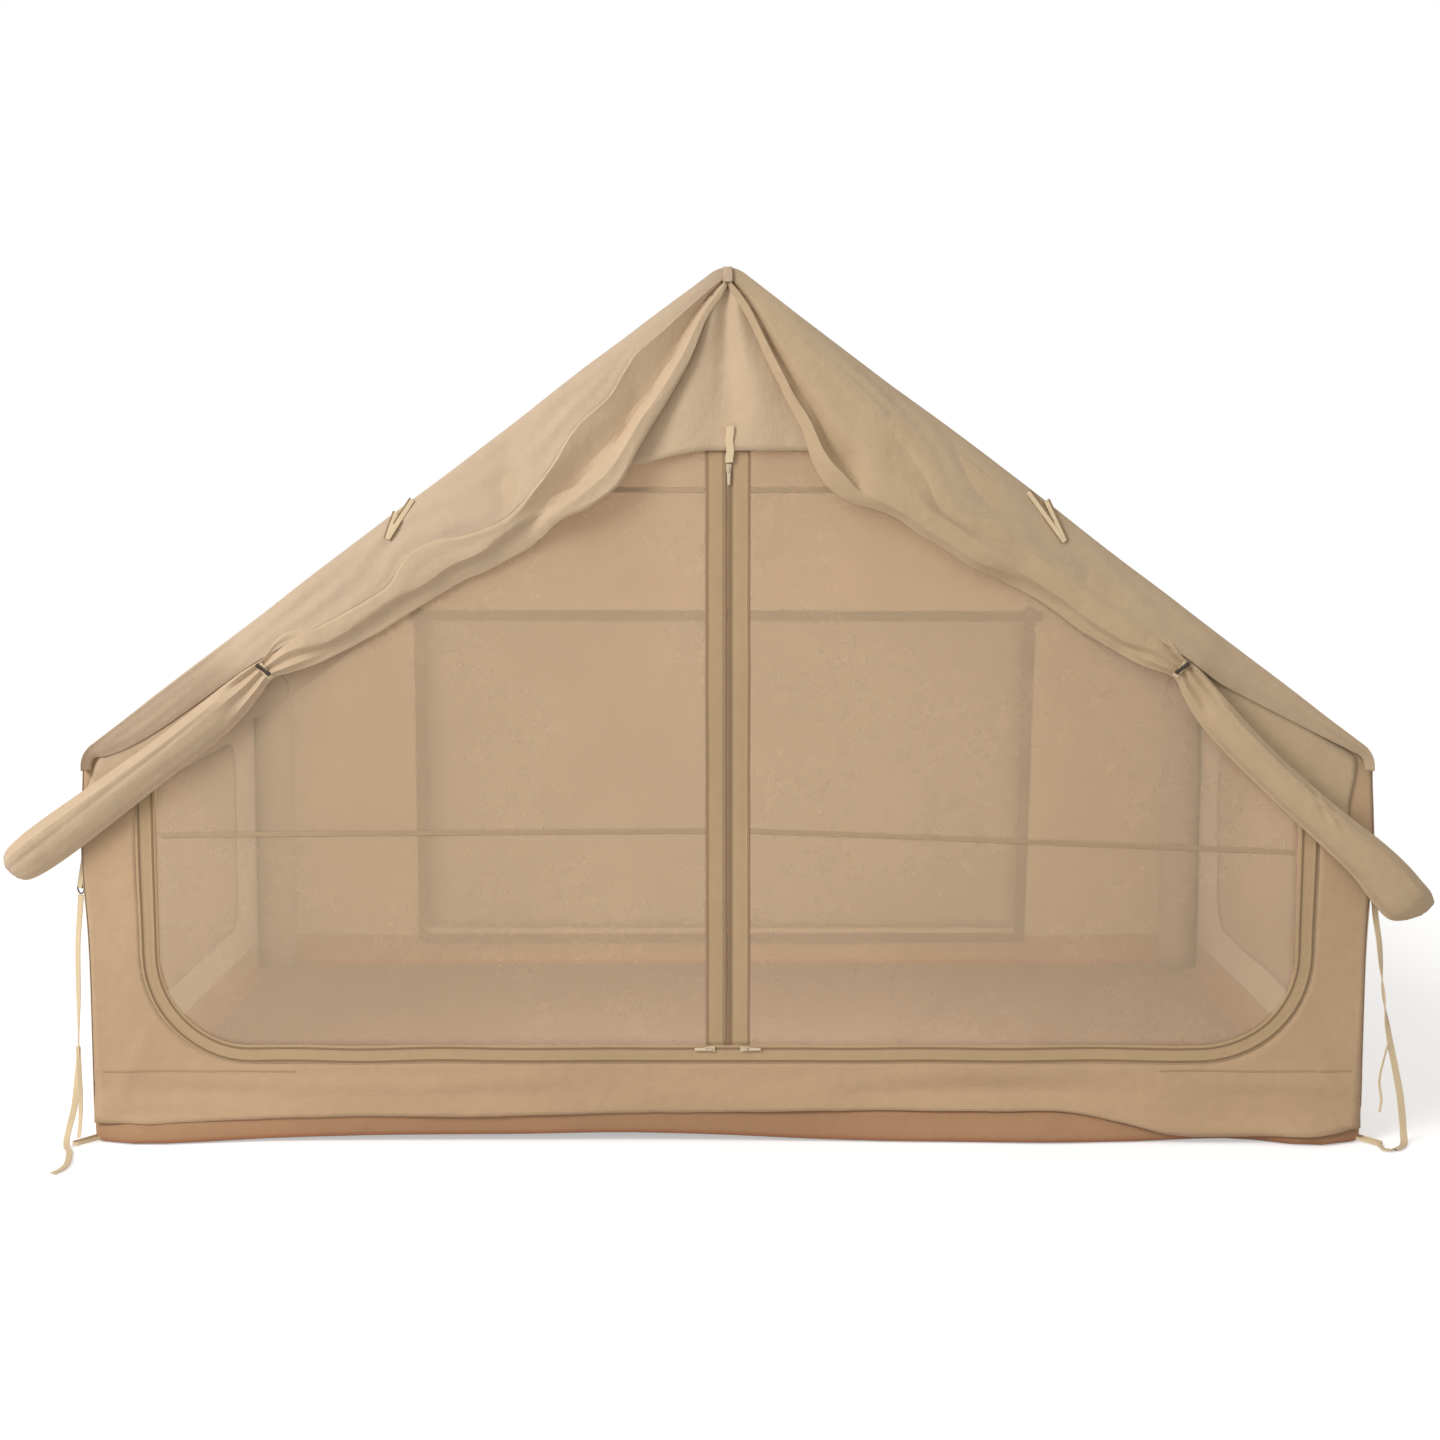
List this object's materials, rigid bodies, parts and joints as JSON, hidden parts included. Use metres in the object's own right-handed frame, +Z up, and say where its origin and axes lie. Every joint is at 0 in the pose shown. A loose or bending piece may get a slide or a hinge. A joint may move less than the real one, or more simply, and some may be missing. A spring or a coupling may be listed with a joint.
{
  "type": "inflatable tent",
  "caption": "Inflatable ridge tent with house-shaped air frames, canvas walls and roof, zipped mesh front, tied-back door canvas, covered windows, tub floor and guy straps.",
  "frame": {"origin": "on the ground, in the middle of the floor", "axes": "+Z up; +Y from the door to the rear wall; +X to the right seen from the front"},
  "size_m": [3.3377, 2.4182, 2.04],
  "materials": {
    "canvas": "matt",
    "mosquito_mesh": "matt open weave",
    "groundsheet_pvc": "matt coated",
    "beam_sleeve": "matt",
    "bladder_film": "satin film",
    "zip_tape": "matt woven",
    "webbing": "matt woven",
    "metal": "satin",
    "plastic": "satin"
  },
  "bodies": {
    "root": {"front_left_post": "beam_sleeve", "front_right_post": "beam_sleeve", "rear_left_post": "beam_sleeve", "rear_right_post": "beam_sleeve", "front_left_rafter": "beam_sleeve", "front_right_rafter": "beam_sleeve", "rear_left_rafter": "beam_sleeve", "rear_right_rafter": "beam_sleeve", "ridge_beam": "beam_sleeve", "left_eave_beam": "beam_sleeve", "right_eave_beam": "beam_sleeve", "front_air_bladder": "bladder_film", "rear_air_bladder": "bladder_film", "roof_left": "canvas", "roof_right": "canvas", "left_wall": "canvas", "right_wall": "canvas", "front_wall": "canvas", "rear_wall": "canvas", "front_header": "canvas", "groundsheet": "groundsheet_pvc", "left_window_mesh": "mosquito_mesh", "right_window_mesh": "mosquito_mesh", "rear_window_mesh": "mosquito_mesh", "left_fixed_mesh": "mosquito_mesh", "right_fixed_mesh": "mosquito_mesh", "door_zip_band": "zip_tape", "left_door_curtain": "canvas", "right_door_curtain": "canvas", "left_tie": "webbing", "right_tie": "webbing", "front_left_guy_tab": "webbing", "front_right_guy_tab": "webbing", "rear_left_guy_tab": "webbing", "rear_right_guy_tab": "webbing", "front_left_ring": "metal", "front_right_ring": "metal", "left_guy_strap": "webbing", "right_guy_strap": "webbing", "inflation_valve": "plastic", "relief_valve": "plastic"},
    "left_flap": {"left_mesh_flap": "mosquito_mesh", "left_centre_zip": "zip_tape"},
    "right_flap": {"right_mesh_flap": "mosquito_mesh", "right_centre_zip": "zip_tape"},
    "centre_slider": {"centre_zip_slider": "metal"},
    "centre_pull": {"centre_zip_pull": "metal"},
    "left_sill_slider": {"left_sill_zip_slider": "metal"},
    "left_sill_pull": {"left_sill_zip_pull": "metal"},
    "right_sill_slider": {"right_sill_zip_slider": "metal"},
    "right_sill_pull": {"right_sill_zip_pull": "metal"},
    "left_window_cover": {"left_window_flap": "canvas"},
    "right_window_cover": {"right_window_flap": "canvas"},
    "rear_window_cover": {"rear_window_flap": "canvas"},
    "cap": {"valve_cap": "plastic"},
    "rear_left_dee": {"rear_left_ring": "metal"},
    "rear_right_dee": {"rear_right_ring": "metal"},
    "left_toggle_bar": {"left_toggle": "plastic"},
    "right_toggle_bar": {"right_toggle": "plastic"}
  },
  "joints": [
    {"name": "left_flap_fold", "type": "hinge", "parent": "root", "child": "left_flap", "pos_m": [0, -1.0485, 1.61], "axis": [0.6961, 0, 0.718], "range_deg": [-85, 85]},
    {"name": "right_flap_fold", "type": "hinge", "parent": "root", "child": "right_flap", "pos_m": [0, -1.0485, 1.61], "axis": [-0.6961, 0, 0.718], "range_deg": [-85, 85]},
    {"name": "centre_zip_run", "type": "slide", "parent": "right_flap", "child": "centre_slider", "axis": [0, 0, -1], "range_m": [0, 1.32]},
    {"name": "centre_pull_swing", "type": "hinge", "parent": "centre_slider", "child": "centre_pull", "pos_m": [0.0025, -1.0556, 1.586], "axis": [-1, 0, 0], "range_deg": [0, 150]},
    {"name": "left_sill_zip_run", "type": "slide", "parent": "root", "child": "left_sill_slider", "axis": [-1, 0, 0], "range_m": [0, 1.01]},
    {"name": "left_sill_pull_swing", "type": "hinge", "parent": "left_sill_slider", "child": "left_sill_pull", "pos_m": [-0.042, -1.0556, 0.2265], "axis": [0, 0, 1], "range_deg": [0, 150]},
    {"name": "right_sill_zip_run", "type": "slide", "parent": "root", "child": "right_sill_slider", "axis": [1, 0, 0], "range_m": [0, 1.01]},
    {"name": "right_sill_pull_swing", "type": "hinge", "parent": "right_sill_slider", "child": "right_sill_pull", "pos_m": [0.042, -1.0556, 0.2265], "axis": [0, 0, -1], "range_deg": [0, 150]},
    {"name": "left_window_roll", "type": "hinge", "parent": "root", "child": "left_window_cover", "pos_m": [-1.5003, 0, 0.78], "axis": [0, 1, 0], "range_deg": [0, 85]},
    {"name": "right_window_roll", "type": "hinge", "parent": "root", "child": "right_window_cover", "pos_m": [1.5003, 0, 0.78], "axis": [0, -1, 0], "range_deg": [0, 85]},
    {"name": "rear_window_roll", "type": "hinge", "parent": "root", "child": "rear_window_cover", "pos_m": [0, 1.0503, 1.13], "axis": [1, 0, 0], "range_deg": [0, 85]},
    {"name": "valve_cap_hinge", "type": "hinge", "parent": "root", "child": "cap", "pos_m": [-1.4364, -0.9085, 0.3805], "axis": [1, 0, 0], "range_deg": [0, 150]},
    {"name": "rear_left_ring_swing", "type": "hinge", "parent": "root", "child": "rear_left_dee", "pos_m": [-1.51911, 1.03461, 0.612], "axis": [0.7071, 0.7071, 0], "range_deg": [-20, 60]},
    {"name": "rear_right_ring_swing", "type": "hinge", "parent": "root", "child": "rear_right_dee", "pos_m": [1.51911, 1.03461, 0.612], "axis": [0.7071, -0.7071, 0], "range_deg": [-20, 60]},
    {"name": "left_toggle_turn", "type": "hinge", "parent": "root", "child": "left_toggle_bar", "pos_m": [-1.06974, -1.09092, 1.12658], "axis": [0, 1, 0], "range_deg": [-30, 30]},
    {"name": "right_toggle_turn", "type": "hinge", "parent": "root", "child": "right_toggle_bar", "pos_m": [1.04706, -1.09092, 1.1307], "axis": [0, 1, 0], "range_deg": [-30, 30]}
  ]
}
